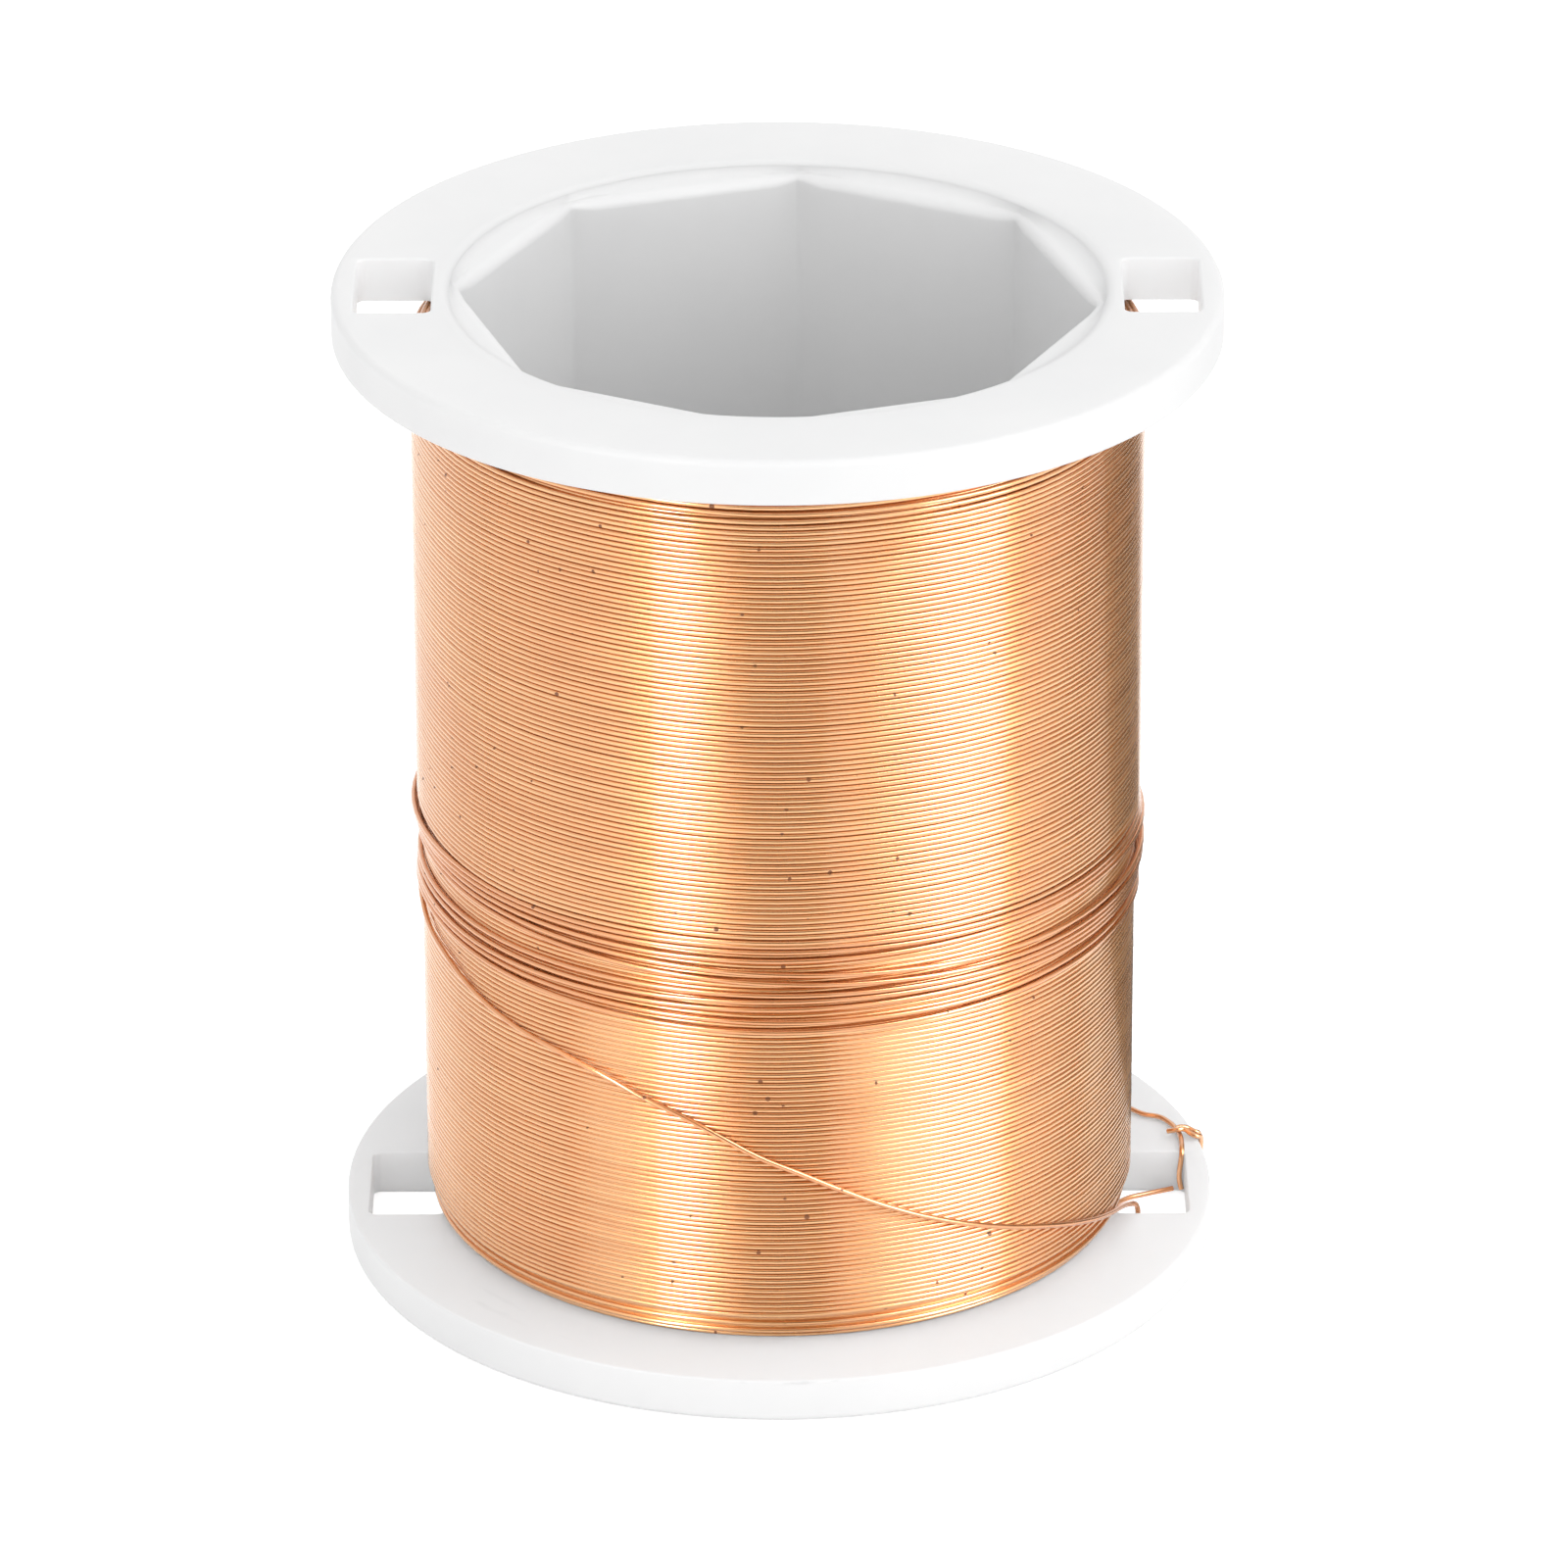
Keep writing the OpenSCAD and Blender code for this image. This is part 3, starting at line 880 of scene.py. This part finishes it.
def windLayerEnds(look):
    # the end turns of the layers below, which show through the slots, and the wire between them
    steps = look["steps"]
    turns = look["endTurns"]
    for layer in range(wire["fullLayers"]):
        count = look["underTurns"] if layer == wire["fullLayers"] - 1 else turns
        at = np.arange(count * steps + 1) / steps
        heights = topTurnH(look) - wire["diameter"] * at
        tones = np.full(len(at), random.random())
        radii = np.full(len(at), firstTurnR + layer * layerStep)
        angles = look["endTurnDeg"] * layer + 360 * at
        woundTube(f"topTurns{layer + 1}", angles, radii, heights, tones, look, None)
    at = np.arange(look["footTurns"] * steps + 1) / steps
    lowest = wireR + look["footGap"]
    for layer, (start, pitch) in enumerate(look["footLayers"]):
        heights = spool["lowerFace"] + np.maximum(start + pitch * (at - 0.5), lowest)
        tones = np.full(len(at), random.random())
        radii = np.full(len(at), firstTurnR + layer * layerStep)
        angles = 90 + 360 * at
        woundTube(f"footTurns{layer + 1}", angles, radii, heights, tones, look, None)
    inner = spool["hubR"] + look["endGap"]
    middle = firstTurnR + layerStep
    low = spool["lowerFace"] + look["footLayers"][0][0]
    rise = spool["lowerFace"] + look["footLayers"][1][0]
    high = spool["upperFace"] - turns * wire["diameter"]
    sleeve = [
        (inner, low),
        (firstTurnR, low),
        (firstTurnR, rise),
        (middle, rise),
        (middle, look["footStart"] + wireR),
        (fullTurnR, look["footStart"] + wireR),
        (fullTurnR, high),
        (inner, high),
    ]
    rings = []
    for radius, height in sleeve:
        rings.append([polar(360 * i / steps, radius, height) for i in range(steps)])
    faces = []
    for i in range(len(rings)):
        faces += ringQuads(i * steps, (i + 1) % len(rings) * steps, steps)
    places = [p for ring in rings for p in ring]
    core = meshPiece("innerTurns", places, faces, copper)
    weighNormals(core)
    return core


windLastLayer(windingLook)
windFullLayer(windingLook)
windLayerEnds(windingLook)
print("winding made")

# Two strands lie over the start end and hook round the flange's rim.
# Strands are x, y, z in mm. Hooks are an angle and a height from the flange's upper face.
wrapH = footH + wire["diameter"] + wire["gap"]
wrapRimR = spool["flangeR"] + wireR + wire["gap"]
wraps = {
    "nearWrap": {
        "strand": [
            (23.63, 5.4, footH + 0.17), (24.12, 5.18, wrapH - 0.01), (24.62, 5.3, wrapH - 0.01),
            (25.01, 5.05, 3.1), (25.35, 4.95, 2.97), (25.58, 5.15, 2.88),
        ],
        "hook": [(11.8, -0.2), (11.9, -0.6), (11.9, -1.2), (12.0, -1.8), (12.1, -2.3)],
        "node": "near_wrap",
    },
    "farWrap": {
        "strand": [
            (24.13, 5.5, wrapH - 0.03), (24.54, 5.66, wrapH - 0.04), (24.94, 5.7, 3.1),
            (25.26, 5.55, 2.99), (25.48, 5.6, 2.89),
        ],
        "hook": [(12.6, -0.15), (12.7, -0.6), (12.7, -1.2), (12.8, -1.8), (12.9, -2.3)],
        "node": "far_wrap",
    },
}
for name, wrap in wraps.items():
    hook = [polar(a, wrapRimR, spool["lowerFace"] + h) for a, h in wrap["hook"]]
    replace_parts(wireCurve(name, wrap["strand"] + hook, endCopper), wrap["node"])
print("wraps made")

# Azimuths are counted from the camera's side, to the right. Lamps and cards face the spool.
studio = {
    "floorSize": 6.0,  # m
    "floorGlow": 0.5,
    "floorPaint": 0.92,
    "floorDrop": 0.02,  # mm, which keeps the floor apart from the flange that stands on it
    "around": 0.87,
    "distance": 1.25,  # m
    "cardBack": 0.1,  # m, how much farther the cards stand
    "lamps": [
        {"name": "leftLamp", "azimuth": -35, "elevation": 25, "size": (0.23, 1.5), "glow": 12.0},
        {"name": "rightLamp", "azimuth": 59, "elevation": 25, "size": (0.58, 1.5), "glow": 7.7},
    ],
    # the fills light what is dull, and the two lamps above only show in what shines
    "fills": [
        {"name": "lowFill", "azimuth": 15, "elevation": 14, "size": (1.2, 0.8), "glow": 0.9},
        {"name": "highFill", "azimuth": 85, "elevation": 38, "size": (1.2, 1.2), "glow": 0.65},
    ],
    "cards": [
        {"name": "frontCard", "azimuth": 1, "elevation": 22, "size": (0.75, 1.6), "paint": 0.03},
        {"name": "rightCard", "azimuth": 125, "elevation": 15, "size": (1.1, 1.4), "paint": 0.18},
        {"name": "backCard", "azimuth": 134, "elevation": 15, "size": (0.6, 1.4), "paint": 0.04},
        {"name": "leftCard", "azimuth": -110, "elevation": 15, "size": (0.6, 1.4), "paint": 0.85},
    ],
    # a dark sheet just over the floor behind, on the right; its reach is in m and its lift in mm
    "sheet": {
        "azimuth": 130,
        "spreadDeg": 27,
        "reach": (0.027, 0.45),
        "lift": 0.3,
        "paint": 0.12,
    },
}


def isSeen(nodes, links):
    # 1 for the rays that show the background: straight, mirrored or passed through
    path = addNode(nodes, "ShaderNodeLightPath")
    mirrored = addMath(
        nodes, links, "MAXIMUM", path.outputs["Is Glossy Ray"], path.outputs["Is Transmission Ray"]
    )
    return addMath(nodes, links, "MAXIMUM", path.outputs["Is Camera Ray"], mirrored)


def makeFloor(setup):
    half = setup["floorSize"] / 2
    low = -setup["floorDrop"] * mm
    mesh = bpy.data.meshes.new("floor")
    corners = [(-half, -half, low), (half, -half, low), (half, half, low), (-half, half, low)]
    mesh.from_pydata(corners, [], [(0, 1, 2, 3)])
    material, nodes, links, shader = newMaterial("floorPaint")
    shader.inputs["Base Color"].default_value = (*(setup["floorPaint"],) * 3, 1.0)
    shader.inputs["Roughness"].default_value = 0.9
    shader.inputs["Specular IOR Level"].default_value = 0.0
    glow = addMath(nodes, links, "MULTIPLY", isSeen(nodes, links), setup["floorGlow"])
    links.new(glow, shader.inputs["Emission Strength"])
    shader.inputs["Emission Color"].default_value = (1, 1, 1, 1)
    mesh.materials.append(material)
    floor = bpy.data.objects.new("floor", mesh)
    bpy.context.scene.collection.objects.link(floor)


def standFacing(piece, setup, distance):
    a = math.radians(setup["azimuth"])
    e = math.radians(setup["elevation"])
    way = Vector((math.sin(a) * math.cos(e), -math.cos(a) * math.cos(e), math.sin(e)))
    piece.location = way * distance + Vector((0, 0, spool["height"] / 2 * mm))
    piece.rotation_euler = way.to_track_quat("Z", "Y").to_euler()
    bpy.context.scene.collection.objects.link(piece)


def makeLamp(setup, distance, shines):
    light = bpy.data.lights.new(setup["name"], "AREA")
    light.shape = "RECTANGLE"
    light.size, light.size_y = setup["size"]
    light.energy = setup["glow"] * math.pi * light.size * light.size_y
    lamp = bpy.data.objects.new(setup["name"], light)
    lamp.visible_diffuse = not shines
    lamp.visible_glossy = shines
    standFacing(lamp, setup, distance)


def dullPiece(name, corners, paint):
    # a dull card that only mirrored rays see
    mesh = bpy.data.meshes.new(name)
    mesh.from_pydata(corners, [], [tuple(range(len(corners)))])
    material, _, _, shader = newMaterial(name)
    shader.inputs["Base Color"].default_value = (*(paint,) * 3, 1.0)
    shader.inputs["Roughness"].default_value = 1.0
    mesh.materials.append(material)
    card = bpy.data.objects.new(name, mesh)
    card.visible_camera = False
    card.visible_diffuse = False
    card.visible_shadow = False
    return card


def makeCard(setup, distance):
    x, y = (s / 2 for s in setup["size"])
    corners = [(-x, -y, 0), (x, -y, 0), (x, y, 0), (-x, y, 0)]
    card = dullPiece(setup["name"], corners, setup["paint"])
    standFacing(card, setup, distance)


def makeSheet(setup):
    # azimuths count from -Y
    first = setup["azimuth"] - 90 - setup["spreadDeg"] / 2
    last = first + setup["spreadDeg"]
    near, far = setup["reach"]
    lift = setup["lift"] * mm
    corners = [polar(first, near, lift), polar(first, far, lift), polar(last, far, lift)]
    corners.append(polar(last, near, lift))
    sheet = dullPiece("floorSheet", corners, setup["paint"])
    bpy.context.scene.collection.objects.link(sheet)


def makeWorld(setup):
    world = bpy.data.worlds.new("studio")
    bpy.context.scene.world = world
    world.use_nodes = True
    nodes = world.node_tree.nodes
    links = world.node_tree.links
    strength = addRange(nodes, links, isSeen(nodes, links), 0.0, 1.0, setup["around"], 1.0)
    links.new(strength, nodes["Background"].inputs["Strength"])
    nodes["Background"].inputs["Color"].default_value = (1, 1, 1, 1)


makeFloor(studio)
for lampSetup in studio["lamps"]:
    makeLamp(lampSetup, studio["distance"], True)
for lampSetup in studio["fills"]:
    makeLamp(lampSetup, studio["distance"], False)
for cardSetup in studio["cards"]:
    makeCard(cardSetup, studio["distance"] + studio["cardBack"])
makeSheet(studio["sheet"])
makeWorld(studio)
bpy.context.scene.view_settings.view_transform = "Standard"
print("studio made")
